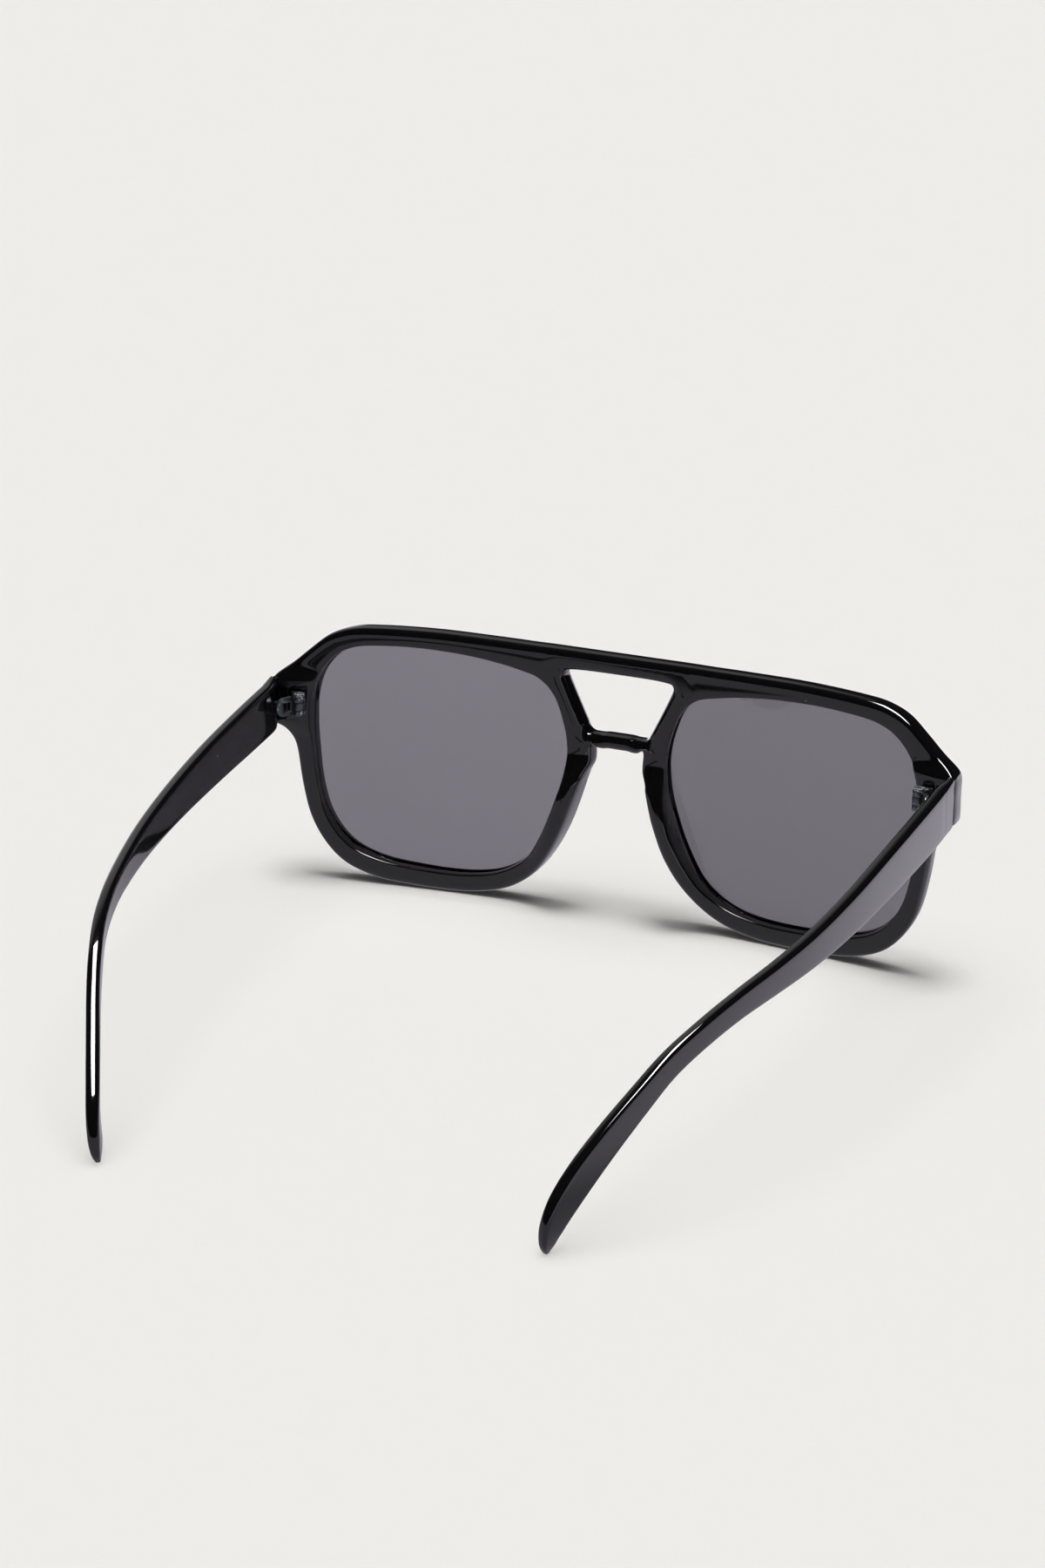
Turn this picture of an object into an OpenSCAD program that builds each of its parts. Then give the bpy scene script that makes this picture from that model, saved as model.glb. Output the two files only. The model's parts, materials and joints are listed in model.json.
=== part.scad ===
// Double-bridge sunglasses with a moulded gloss front, tinted lenses and folding temples.
// Millimetres. +Z up, +X to the wearer's left, the front faces -Y and the temples run to +Y.
// They stand open on the bottoms of the rims and on the tips of the temples.

/* [Front] */
// Width over the two endpieces
front_w = 146; // [130:1:155]
// Depth of the moulded front, from its back face to its front face
front_t = 4.7; // [3.6:0.1:5.4]
// Radius of the curve of the front, seen from above
front_r = 390; // [250:10:600]
// Lean of the front, its top away from the wearer, in degrees
front_lean = 2; // [0:0.5:4]
// Radius of the outer edges of the front
edge_r = 1.2; // [0.6:0.1:1.3]
// Radius of the edges of the lens openings
lip_r = 0.35; // [0.2:0.05:0.5]
// Height of the nose pads behind the back face
pad_rise = 3.6; // [2.2:0.1:4]
// Height of the hinge seats of the endpieces behind the back face
seat_rise = 1.2; // [0.8:0.1:1.4]

/* [Lenses] */
// Thickness of a lens
lens_t = 1.9; // [1.4:0.1:2.2]
// Depth of a lens below the back face of the front
lens_set = 1.95; // [1.6:0.05:2.1]
// Depth of the groove that holds a lens
groove_d = 0.7; // [0.4:0.1:0.9]
// Gap between a lens and its groove
groove_gap = 0.08; // [0.05:0.01:0.12]

/* [Temples] */
// Height of a temple at its front end
temple_h = 10.4; // [9:0.1:11]
// Thickness of a temple past the hinge
temple_t = 2.95; // [2.7:0.05:3.2]
// Gap between the front end of a temple and the endpiece
seam_gap = 0.15; // [0.1:0.05:0.3]

/* [Hinges] */
// Distance of the hinge axis inside the outer face of the endpiece
hinge_in = 6.8; // [6.4:0.1:7]
// Distance of the hinge axis behind the hinge seat
hinge_back = 1.9; // [1.85:0.05:2.2]
// Height of the middle of the hinge above the rim bottoms
hinge_z = 38.4; // [38:0.1:38.8]
// Outer radius of a knuckle
knuckle_r = 1.3; // [1.2:0.05:1.35]
// Radius of the hinge screw
screw_r = 0.6; // [0.5:0.05:0.7]
// Radial clearance of the screw in the middle knuckle
run_gap = 0.04; // [0.02:0.01:0.08]
// Height of the middle knuckle
mid_h = 1.6; // [1.4:0.1:1.8]
// Height of the upper and of the lower knuckle
side_h = 1.15; // [1:0.05:1.25]
// Gap between neighbouring knuckles
side_gap = 0.08; // [0.05:0.01:0.12]

/* [Hidden] */

$fn = 64;

// Share of the nominal width, which the sizes of the front and of the lenses follow
size = front_w / 146;
// Place of the middle of the front's back face
front_y = -65.4;
// Height at which the lower edge of the leaning front touches the floor, low_x from the middle
low_x = 37.4 * size;
front_z = (front_t - edge_r - bow(low_x)) * sin(front_lean);

gloss_black = [0.03, 0.03, 0.035];
tint_grey = [0.28, 0.27, 0.30, 0.75];
dark_steel = [0.22, 0.23, 0.25];

// One row for each key point round the left rim, starting under the endpiece and going over
// the brow: [lens opening x, z, outer edge x, z, share of the seat's rise, share of the pad's].
RIM = [
    // outer side, up to the endpiece
    [64.8, 27.7, 68.5, 27.5, 0, 0],
    [65, 30.2, 69.2, 29.9, 0.1, 0],
    [65.1, 32.2, 70.6, 32.1, 0.7, 0],
    [65.1, 33.8, 72.5, 33.2, 1, 0],
    [65.1, 35, 73, 33.8, 1, 0],
    [65, 38.2, 73, 38.4, 1, 0],
    [64.4, 41.4, 73, 42.4, 1, 0],
    [63.9, 42.9, 72.5, 43.6, 1, 0],
    [63.2, 44.6, 69.2, 46.2, 0.05, 0],
    // upper outer corner and brow
    [61.4, 47.2, 65.1, 49.9, 0, 0],
    [58.7, 49.5, 61.4, 52.9, 0, 0],
    [55.1, 50.9, 56.7, 54.6, 0, 0],
    [51.2, 51.4, 51.7, 55.1, 0, 0],
    [44.2, 51.8, 44.4, 55.4, 0, 0],
    [37.6, 51.7, 37.6, 55.5, 0, 0],
    [31.2, 51.3, 31, 55.4, 0, 0],
    [24.5, 50.4, 24.2, 55.3, 0, 0],
    [20.2, 49.5, 18.9, 55.2, 0, 0],
    // join of the brow bar
    [17.3, 48.7, 15, 55.2, 0, 0],
    [15.2, 47.2, 11.2, 50.8, 0, 0],
    // side of the opening between the two bridges
    [14.5, 46.5, 11.6, 50, 0, 0],
    [13.2, 44.6, 11.1, 48.6, 0, 0],
    [11.9, 41.2, 9.4, 44.8, 0, 0],
    [11, 37.8, 7.4, 40.6, 0, 0],
    [10.7, 35.6, 6.3, 38.4, 0, 0],
    // join of the lower bridge
    [10.6, 34.0, 5.5, 37.5, 0, 0],
    [10.7, 31.5, 5.3, 33.5, 0, 0.17],
    // nose pad
    [10.9, 29.8, 6.1, 31.3, 0, 0.44],
    [11.3, 27.3, 7, 28.2, 0, 0.78],
    [12.2, 24, 8.7, 22.7, 0, 1],
    [13.8, 19.4, 10.8, 17, 0, 1],
    [16.3, 14.1, 13.8, 11.2, 0, 0.75],
    [19.4, 9.5, 17.5, 6.4, 0, 0.33],
    [25, 5.8, 23.1, 2.4, 0, 0.06],
    // bottom and lower outer corner
    [31.4, 4.3, 30.4, 0.4, 0, 0],
    [37.6, 4, 37.4, 0, 0, 0],
    [43.9, 4.3, 44.4, 0.2, 0, 0],
    [50.7, 5.1, 52.1, 1, 0, 0],
    [57.5, 7.8, 59.6, 4.2, 0, 0],
    [62.1, 13.6, 65.2, 11.6, 0, 0],
    [64.1, 20.7, 67.5, 20.3, 0, 0]
];
rim_rows = len(RIM);
// Rows between which the brow bar and the lower bridge leave the rim
BROW_ROWS = [18, 19];
BRIDGE_ROWS = [24, 25];
// Stations between two rows of key points
rim_steps = 3;
rim_n = rim_rows * rim_steps;
// Sections across each bar between the two rims
bar_n = 12;
// Heights of the brow bar and of the lower bridge at the middle: [top, bottom]
BROW_MID = [55.1, 51.1];
BRIDGE_MID = [38.4, 35.4];

// Rows for the left temple from the front end to the tip:
// [distance behind the front's back plane, distance inside the outer face of the endpiece, z,
// height as a share, thickness as a share, twist of the upper edge inwards in degrees].
TEMPLE = [
    [8.5, 1.05, 38.5, 1.00, 0.72, 0],
    [10.7, 1.42, 38.3, 1.00, 0.97, 0],
    [14.0, 1.5, 38.05, 1.00, 1.00, 0],
    [21.2, 1.7, 37.6, 0.99, 1.00, 0],
    [38.2, 2.4, 36.6, 0.92, 0.98, 0],
    [55.7, 3.6, 35.3, 0.79, 0.95, 0],
    [71.9, 5.6, 34.1, 0.66, 0.92, 0],
    [84.8, 8.2, 33.2, 0.56, 0.90, 1],
    [95.4, 10.9, 32.2, 0.50, 0.88, 4],
    [104.9, 13.9, 30.1, 0.48, 0.87, 8],
    [112.2, 16.9, 27.1, 0.49, 0.87, 12],
    [118.4, 19.7, 22.8, 0.53, 0.88, 16],
    [124.3, 22.6, 18.1, 0.58, 0.90, 19],
    [130.0, 25.4, 13.0, 0.61, 0.90, 21],
    [134.2, 27.5, 8.3, 0.58, 0.87, 22],
    [136.1, 28.7, 4.4, 0.47, 0.78, 20],
    [136.6, 29.2, 1.7, 0.30, 0.58, 18],
    [136.6, 29.4, 0.07, 0.10, 0.30, 18]
];
temple_steps = 4;
temple_rows = len(TEMPLE);

hinge_x = front_w / 2 - hinge_in;
hinge_y = bow(hinge_x) + seat_rise + hinge_back;
bore_r = screw_r + run_gap;
stack_h = mid_h + 2 * side_h + 2 * side_gap;

// A point on a centripetal spline between b and c, at share t of the way
function knot(a, b) = pow(max(norm(b - a), 0.0001), 0.5);
function spline_point(a, b, c, d, t) =
    let (
        t1 = knot(a, b),
        t2 = t1 + knot(b, c),
        t3 = t2 + knot(c, d),
        u = t1 + t * (t2 - t1),
        p1 = a * (t1 - u) / t1 + b * u / t1,
        p2 = b * (t2 - u) / (t2 - t1) + c * (u - t1) / (t2 - t1),
        p3 = c * (t3 - u) / (t3 - t2) + d * (u - t2) / (t3 - t2),
        q1 = p1 * (t2 - u) / t2 + p2 * u / t2,
        q2 = p2 * (t3 - u) / (t3 - t1) + p3 * (u - t1) / (t3 - t1)
    )
    q1 * (t2 - u) / (t2 - t1) + q2 * (u - t1) / (t2 - t1);

// A closed spline through a list of points, with steps points from each one to the next.
// It turns sharply at the points whose numbers are in corners.
function closed_spline(keys, steps, corners) =
    let (n = len(keys))
    [
        for (i = [0 : n - 1])
            let (
                b = keys[i],
                c = keys[(i + 1) % n],
                a = is_in(i, corners) ? 2 * b - c : keys[(i + n - 1) % n],
                d = is_in((i + 1) % n, corners) ? 2 * c - b : keys[(i + 2) % n]
            )
            for (s = [0 : steps - 1]) spline_point(a, b, c, d, s / steps)
    ];
function is_in(i, list) = len([for (q = list) if (q == i) q]) > 0;

// An open spline through a list of points, its ends carried on straight
function open_spline(keys, steps) =
    let (
        n = len(keys),
        more = concat([2 * keys[0] - keys[1]], keys, [2 * keys[n - 1] - keys[n - 2]])
    )
    concat(
        [
            for (i = [0 : n - 2])
                for (s = [0 : steps - 1])
                    spline_point(more[i], more[i + 1], more[i + 2], more[i + 3], s / steps)
        ],
        [keys[n - 1]]
    );

// Blend of a and b with level ends
function ease(a, b, t) = a + (b - a) * (3 * t * t - 2 * t * t * t);

// Depth of the curved back face behind its middle, at a distance x from the middle
function bow(x) = front_r - sqrt(front_r * front_r - x * x);

// A point of the front: x and z in its plane, and p in front of the back face
function front_point(x, z, p) =
    let (y = bow(x) - p)
    [
        x,
        front_y + y * cos(front_lean) - z * sin(front_lean),
        front_z + y * sin(front_lean) + z * cos(front_lean)
    ];

opening = closed_spline([for (r = RIM) [r[0], r[1]] * size], rim_steps, []);
outline = closed_spline(
    [for (r = RIM) [r[2], r[3]] * size],
    rim_steps,
    concat(BROW_ROWS, BRIDGE_ROWS)
);
rise = closed_spline([for (r = RIM) [r[4] * seat_rise + r[5] * pad_rise, 0]], rim_steps, []);

// Section of the rim at station i, from the lens opening to the outer edge. Each point is
// [distance from the opening, distance from the outer edge, depth in front of the back face],
// and one of the two distances counts: the other one is below 0.
function rim_section(i) =
    let (
        w = norm(outline[i] - opening[i]),
        h = max(rise[i][0], 0),
        swell = min(h / 2.6, 1),
        crest = ease(edge_r, min(1.4, w * 0.38), swell),
        lip = ease(lip_r, 1.1, swell),
        groove_a = lens_set - groove_gap,
        groove_b = lens_set + lens_t + groove_gap
    )
    [
        [0, -1, lip - h],
        [lip * 0.3, -1, lip * 0.3 - h],
        [lip, -1, -h],
        [-1, crest, -h],
        [-1, crest * 0.3, crest * 0.3 - h],
        [-1, 0, crest - h],
        [-1, 0, front_t * 0.5],
        [-1, 0, front_t - edge_r],
        [-1, edge_r * 0.3, front_t - edge_r * 0.3],
        [-1, edge_r, front_t],
        [lip_r, -1, front_t],
        [lip_r * 0.3, -1, front_t - lip_r * 0.3],
        [0, -1, front_t - lip_r],
        [0, -1, groove_b],
        [groove_d, -1, groove_b],
        [groove_d, -1, groove_a],
        [0, -1, groove_a]
    ];
section_n = 17;
// First and last point of the part of a section that a bar replaces
BAR_POINTS = [3, 9];

// Stations between which a bar leaves the rim
brow_a = BROW_ROWS[0] * rim_steps;
brow_b = BROW_ROWS[1] * rim_steps;
bridge_a = BRIDGE_ROWS[0] * rim_steps;
bridge_b = BRIDGE_ROWS[1] * rim_steps;
function is_inside(i, a, b) = i > a && i < b;

// Outward direction of a closed outline, given the points before and after
function outward(a, b) = [b[1] - a[1], a[0] - b[0]] / norm(b - a);
function unit(v) = v / norm(v);

// Outward direction of the outer edge at station i; at a join it turns half way to the bar
function edge_out(i) =
    let (
        before = outline[(i + rim_n - 1) % rim_n],
        here = outline[i],
        after = outline[(i + 1) % rim_n]
    )
    i == brow_a ? unit(outward(before, here) + [0, 1])
    : i == brow_b ? unit(outward(here, after) + [0, -1])
    : i == bridge_a ? unit(outward(before, here) + [0, 1])
    : i == bridge_b ? unit(outward(here, after) + [0, -1])
    : outward(before, after);
function open_out(i) = outward(opening[(i + rim_n - 1) % rim_n], opening[(i + 1) % rim_n]);

// Place of a section's point in the plane of the front
function section_place(i, s) =
    s[0] >= 0 ? opening[i] + open_out(i) * s[0]
    : is_inside(i, brow_a, brow_b) ? across(i, s, brow_a, brow_b)
    : is_inside(i, bridge_a, bridge_b) ? across(i, s, bridge_a, bridge_b)
    : outline[i] - edge_out(i) * s[1];
function across(i, s, a, b) =
    let (
        p = outline[a] - edge_out(a) * s[1],
        q = outline[b] - edge_out(b) * s[1]
    )
    p + (q - p) * (i - a) / (b - a);

// All points of one rim, with side = 1 for the left one and -1 for the right one
function rim_points(side) = [
    for (i = [0 : rim_n - 1])
        for (s = rim_section(i))
            let (p = section_place(i, s))
            front_point(side * p[0], p[1], s[2])
];

// True where a bar leaves the rim between station i and the next one
function is_join(i) =
    (i >= brow_a && i < brow_b) || (i >= bridge_a && i < bridge_b);

function rim_faces(base, flip) = [
    for (i = [0 : rim_n - 1])
        for (j = [0 : section_n - 1])
            let (
                i2 = (i + 1) % rim_n,
                j2 = (j + 1) % section_n,
                a = base + i * section_n + j,
                b = base + i2 * section_n + j,
                c = base + i2 * section_n + j2,
                d = base + i * section_n + j2
            )
            if (!(is_join(i) && j >= BAR_POINTS[0] && j < BAR_POINTS[1]))
                for (f = [[a, b, c], [a, c, d]])
                    flip ? [f[0], f[2], f[1]] : f
];

// Index of each point round the gap that a bar fills, for the rim that starts at base
function join_loop(base, rows) =
    let (
        i1 = rows[0] * rim_steps,
        i2 = rows[1] * rim_steps,
        a = BAR_POINTS[0],
        b = BAR_POINTS[1]
    )
    concat(
        [for (i = [i1 : i2]) base + i * section_n + a],
        [for (j = [a + 1 : b - 1]) base + i2 * section_n + j],
        [for (i = [0 : i2 - i1]) base + (i2 - i) * section_n + b],
        [for (j = [a + 1 : b - 1]) base + i1 * section_n + a + b - j]
    );

// Section of a bar whose top is at a and whose bottom is at b, each [x, z]; rise is how far
// its back face stands behind the plain one
function bar_loop(a, b, rise) =
    let (
        r = min(edge_r, (a[1] - b[1]) * 0.42),
        half = [
            [r, -rise],
            [r * 0.3, r * 0.3 - rise],
            [0, r - rise],
            [0, front_t * 0.5],
            [0, front_t - r],
            [r * 0.3, front_t - r * 0.3],
            [r, front_t]
        ],
        top = a - [0, r],
        low = b + [0, r]
    )
    concat(
        [for (s = [0 : rim_steps]) bar_point(top + (low - top) * s / rim_steps, -rise)],
        [for (j = [1 : 5]) bar_point(b + [0, half[j][0]], half[j][1])],
        [for (s = [0 : rim_steps]) bar_point(low + (top - low) * s / rim_steps, front_t)],
        [for (j = [1 : 5]) bar_point(a - [0, half[6 - j][0]], half[6 - j][1])]
    );
function bar_point(a, p) = front_point(a[0], a[1], p);
loop_n = 2 * (rim_steps + 1) + 10;

// Sections of a bar from the left rim to the right one, without the two at the rims.
// a and b are its upper and lower end on the left rim, mid its heights at the middle.
function bar_points(a, b, mid, rise) = [
    for (k = [1 : bar_n - 1])
        let (
            t = 1 - 2 * k / bar_n,
            far = abs(t),
            z1 = mid[0] + (a[1] - mid[0]) * pow(far, 2),
            z2 = mid[1] + (b[1] - mid[1]) * pow(far, 5)
        )
        for (p = bar_loop([a[0] * t, z1], [b[0] * t, z2], rise * pow(far, 6))) p
];

// Faces between the sections of a bar; first and last are the gaps in the two rims
function bar_faces(first, base, last) =
    let (
        loops = concat(
            [first],
            [for (k = [0 : bar_n - 2]) [for (j = [0 : loop_n - 1]) base + k * loop_n + j]],
            [last]
        )
    )
    [
        for (k = [0 : bar_n - 1])
            for (j = [0 : loop_n - 1])
                let (
                    a = loops[k][j],
                    b = loops[k + 1][j],
                    c = loops[k + 1][(j + 1) % loop_n],
                    d = loops[k][(j + 1) % loop_n]
                )
                for (f = [[a, b, c], [a, c, d]]) f
    ];

// The moulded front: two rims with their pads and endpieces, the brow bar and the lower bridge
module front_frame() {
    n_rim = rim_n * section_n;
    n_bar = (bar_n - 1) * loop_n;
    points = concat(
        rim_points(1),
        rim_points(-1),
        bar_points(outline[brow_a], outline[brow_b], BROW_MID * size, 0),
        bar_points(outline[bridge_a], outline[bridge_b], BRIDGE_MID * size, 0.2)
    );
    faces = concat(
        rim_faces(0, true),
        rim_faces(n_rim, false),
        bar_faces(join_loop(0, BROW_ROWS), 2 * n_rim, join_loop(n_rim, BROW_ROWS)),
        bar_faces(join_loop(0, BRIDGE_ROWS), 2 * n_rim + n_bar, join_loop(n_rim, BRIDGE_ROWS))
    );
    color(gloss_black)
        polyhedron(points = points, faces = faces, convexity = 8);
}

// Puts its children into the leaning frame of the front
module on_front() {
    translate([0, front_y, front_z])
        rotate([front_lean, 0, 0])
            children();
}

// A lens: the outline of its opening grown into the groove, cut from a bowed shell
module lens(side) {
    grow = groove_d - groove_gap;
    n = len(opening);
    shell_h = max([for (p = outline) p[1]]) + 1;
    shell_depth = bow(front_w / 2) + front_t + 1;
    edge = [
        for (i = [0 : n - 1])
            let (
                d = opening[(i + 1) % n] - opening[(i + n - 1) % n],
                out = [d[1], -d[0]] / norm(d)
            )
            opening[i] + out * grow
    ];
    color(tint_grey)
        on_front()
            intersection() {
                translate([0, front_r - lens_set, 0])
                    difference() {
                        cylinder(h = shell_h, r = front_r + lens_t, $fn = 360);
                        translate([0, 0, -1])
                            cylinder(h = shell_h + 2, r = front_r, $fn = 360);
                    }
                rotate([90, 0, 0])
                    linear_extrude(height = 2 * shell_depth, center = true)
                        polygon([for (p = edge) [side * p[0], p[1]]]);
            }
}
module lens_left() {
    lens(1);
}
module lens_right() {
    lens(-1);
}

// Temple: rounded sections along a spline; the front end follows the back face of the endpiece
temple_line = open_spline([for (r = TEMPLE) [front_w / 2 - r[1], r[0], r[2]]], temple_steps);
temple_size = open_spline([for (r = TEMPLE) [r[3], r[4]]], temple_steps);
temple_twist = open_spline([for (r = TEMPLE) [r[0], r[5]]], temple_steps);
temple_n = len(temple_line);
corner_n = 4;
ring_n = 4 * (corner_n + 1);
// Thickness at the seam, where the temple is thinned on the inside
seam_t = temple_t * 0.52;

// A rounded rectangle, w wide and h high, as a list of points
function round_rect(w, h) =
    let (
        r = min(w, h) * 0.36,
        cx = w / 2 - r,
        cz = h / 2 - r
    )
    [
        for (q = [0 : 3])
            for (s = [0 : corner_n])
                let (
                    a = 90 * (q + s / corner_n),
                    mx = (q == 0 || q == 3) ? cx : -cx,
                    mz = q < 2 ? cz : -cz
                )
                [mx + r * cos(a), mz + r * sin(a)]
    ];

// Direction of the temple at station i
function temple_way(i) =
    let (d = temple_line[min(i + 1, temple_n - 1)] - temple_line[max(i - 1, 0)])
    d / norm(d);

// One section of the left temple, square to its line, and a first one flush with the endpiece
function temple_ring(i) =
    let (
        c = temple_line[i],
        d = temple_way(i),
        up_raw = cross([1, 0, 0], d),
        up = up_raw / norm(up_raw),
        out = cross(d, up),
        s = temple_size[i],
        turn = temple_twist[i][1],
        across = out * cos(turn) + up * sin(turn),
        along = up * cos(turn) - out * sin(turn)
    )
    [
        for (p = round_rect(temple_t * s[1], temple_h * s[0]))
            [0, front_y, 0] + c + across * p[0] + along * p[1]
    ];
function seam_ring() = [
    for (p = round_rect(seam_t, temple_h))
        let (
            x = front_w / 2 - seam_t / 2 + p[0],
            z = TEMPLE[0][2] + p[1]
        )
        front_point(x, z, -seat_rise - seam_gap)
];

module temple(side) {
    rings = concat([seam_ring()], [for (i = [0 : temple_n - 1]) temple_ring(i)]);
    n = len(rings);
    points = [for (r = rings) for (p = r) [side * p[0], p[1], p[2]]];
    walls = [
        for (k = [0 : n - 2])
            for (j = [0 : ring_n - 1])
                let (
                    j2 = (j + 1) % ring_n,
                    a = k * ring_n + j,
                    b = (k + 1) * ring_n + j,
                    c = (k + 1) * ring_n + j2,
                    d = k * ring_n + j2
                )
                for (f = [[a, b, c], [a, c, d]]) f
    ];
    ends = [
        [for (j = [0 : ring_n - 1]) j],
        [for (j = [0 : ring_n - 1]) n * ring_n - 1 - j]
    ];
    all_faces = concat(walls, [for (e = ends) [for (q = e) q]]);
    color(gloss_black)
        polyhedron(
            points = points,
            faces = side > 0 ? [for (f = all_faces) turned(f)] : all_faces,
            convexity = 6
        );
}
function turned(f) = [for (q = [len(f) - 1 : -1 : 0]) f[q]];

module temple_left() {
    temple(1);
}
module temple_right() {
    temple(-1);
}

// Puts its children on the hinge axis of one side, at the middle of the hinge
module on_hinge(side) {
    on_front()
        translate([side * hinge_x, hinge_y, hinge_z])
            mirror([side > 0 ? 0 : 1, 0, 0])
                children();
}

// A drilled knuckle of height h round the hinge axis, its foot at height z
module knuckle(z, h, hole_r) {
    translate([0, 0, z])
        difference() {
            cylinder(h = h, r = knuckle_r);
            translate([0, 0, -1])
                cylinder(h = h + 2, r = hole_r);
        }
}

// Hinge half on the front: a base plate on the endpiece with an upper and a lower knuckle.
// The plate is turned to lie on the bowed back face.
base_t = 0.35;
base_turn = asin(hinge_x / front_r);
// Inner edge of the base plate, from the hinge axis
base_in = 0.8;
// Room between the base plate and the bowed seat
base_gap = 0.05;
module front_hinge(side) {
    z1 = mid_h / 2 + side_gap;
    seat_y = base_gap - hinge_back * cos(base_turn);
    color(dark_steel)
        on_hinge(side)
            difference() {
                rotate([0, 0, base_turn])
                    union() {
                        for (z = [z1, -z1 - side_h]) {
                            knuckle(z, side_h, screw_r + 0.01);
                            translate([-base_in, seat_y, z])
                                cube([base_in + knuckle_r, -seat_y, side_h]);
                        }
                        translate([-base_in, seat_y, -stack_h / 2 - 0.2])
                            cube([base_in + knuckle_r + 0.7, base_t, stack_h + 0.4]);
                    }
                translate([0, 0, -stack_h])
                    cylinder(h = 2 * stack_h, r = screw_r + 0.01);
            }
}
module front_hinge_left() {
    front_hinge(1);
}
module front_hinge_right() {
    front_hinge(-1);
}

// Hinge half on the temple: a slotted leaf with a round end, bent to the middle knuckle
leaf_h = 3.9;
leaf_t = 0.85;
leaf_turn = 28;
// Distances of the leaf's near end and of its round end from the hinge axis
leaf_near = knuckle_r + 0.1;
leaf_far = 5.2;
leaf_in = knuckle_r - leaf_t - 0.05;
leaf_foot_h = 2.6;
// Inner face of the temple beside the leaf, from the hinge axis
temple_in = hinge_in - temple_t;
// A point on the outer side of the leaf at distance d along it
function leaf_point(d) =
    (leaf_in + leaf_t - 0.05) * [cos(leaf_turn), -sin(leaf_turn)]
    + d * [sin(leaf_turn), cos(leaf_turn)];
leaf_foot = [
    leaf_point(leaf_far - 2),
    leaf_point(leaf_far - 0.4),
    [temple_in - 0.05, leaf_point(leaf_far - 0.4)[1]],
    [temple_in - 0.05, leaf_point(leaf_far - 2)[1] + 0.6]
];
module temple_hinge(side) {
    color(dark_steel)
        on_hinge(side) {
            difference() {
                union() {
                    knuckle(-mid_h / 2, mid_h, bore_r);
                    rotate([0, 0, -leaf_turn])
                        translate([leaf_in, 0, -mid_h / 2])
                            cube([leaf_t, leaf_near + 0.2, mid_h]);
                    rotate([0, 0, -leaf_turn])
                        translate([leaf_in, leaf_near, 0])
                            leaf_plate();
                    translate([0, 0, -leaf_foot_h / 2])
                        linear_extrude(height = leaf_foot_h)
                            polygon(leaf_foot);
                }
                translate([0, 0, -stack_h])
                    cylinder(h = 2 * stack_h, r = bore_r);
            }
        }
}
module leaf_plate() {
    slot_h = 1.8;
    round_x = leaf_far - leaf_near - leaf_h / 2;
    rotate([90, 0, 90])
        linear_extrude(height = leaf_t)
            difference() {
                union() {
                    translate([0, -leaf_h / 2])
                        square([round_x, leaf_h]);
                    translate([round_x, 0])
                        circle(r = leaf_h / 2);
                }
                translate([0.4, -slot_h / 2])
                    square([round_x - 0.1, slot_h]);
            }
}
module temple_hinge_left() {
    temple_hinge(1);
}
module temple_hinge_right() {
    temple_hinge(-1);
}

// Screw through the hinge: a shank, a slotted head on top and a riveted end below
module hinge_screw(side) {
    head_h = 0.5;
    color(dark_steel)
        on_hinge(side)
            difference() {
                union() {
                    translate([0, 0, -stack_h / 2 - 0.2])
                        cylinder(h = stack_h + 0.2 + head_h, r = screw_r);
                    translate([0, 0, stack_h / 2])
                        cylinder(h = head_h, r = knuckle_r - 0.15);
                }
                translate([-2, -0.15, stack_h / 2 + head_h - 0.25])
                    cube([4, 0.3, 1]);
            }
}
module hinge_screw_left() {
    hinge_screw(1);
}
module hinge_screw_right() {
    hinge_screw(-1);
}

front_frame();
lens_left();
lens_right();
temple_left();
temple_right();
front_hinge_left();
front_hinge_right();
temple_hinge_left();
temple_hinge_right();
hinge_screw_left();
hinge_screw_right();
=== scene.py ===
import json
import math

import bpy
from bpy.props import FloatProperty, FloatVectorProperty, IntProperty, PointerProperty
from mathutils import Matrix, Vector

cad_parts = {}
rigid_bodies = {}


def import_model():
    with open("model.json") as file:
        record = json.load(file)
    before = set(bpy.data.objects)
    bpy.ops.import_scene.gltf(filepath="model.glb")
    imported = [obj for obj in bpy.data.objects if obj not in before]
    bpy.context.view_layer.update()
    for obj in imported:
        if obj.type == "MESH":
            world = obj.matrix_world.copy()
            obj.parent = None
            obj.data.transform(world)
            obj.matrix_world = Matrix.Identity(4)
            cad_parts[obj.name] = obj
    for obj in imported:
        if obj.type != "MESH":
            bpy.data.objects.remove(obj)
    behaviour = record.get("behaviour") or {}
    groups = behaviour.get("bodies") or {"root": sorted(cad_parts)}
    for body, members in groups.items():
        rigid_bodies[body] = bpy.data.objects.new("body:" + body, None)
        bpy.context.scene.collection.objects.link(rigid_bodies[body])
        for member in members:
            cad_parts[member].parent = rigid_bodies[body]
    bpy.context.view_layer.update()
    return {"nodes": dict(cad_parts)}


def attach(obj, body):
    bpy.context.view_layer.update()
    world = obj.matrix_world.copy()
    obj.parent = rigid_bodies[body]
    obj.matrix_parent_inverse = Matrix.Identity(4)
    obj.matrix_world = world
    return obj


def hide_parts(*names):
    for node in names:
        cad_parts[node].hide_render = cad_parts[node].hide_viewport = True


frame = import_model()

bl_info = {
    "name": "Double-bridge sunglasses",
    "version": (1, 0, 0),
    "blender": (4, 5, 0),
    "location": "3D View > Sidebar > Sunglasses",
    "description": "Dresses the sunglasses: moulded front, temples, lenses, hinges and stage",
    "category": "Object",
}

MM = 0.001
SIDES = ("left", "right")

# Index of refraction of the plastic of the mouldings and the lenses.
PLASTIC_IOR = 1.5
# Height from the foot of the lenses to their top, over which their tint eases.
LENS_FOOT, LENS_TOP = 0.0, 50.0 * MM
# Share of a full crease that the crisp edges of the mouldings keep.
CREASE = 0.85
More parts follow.
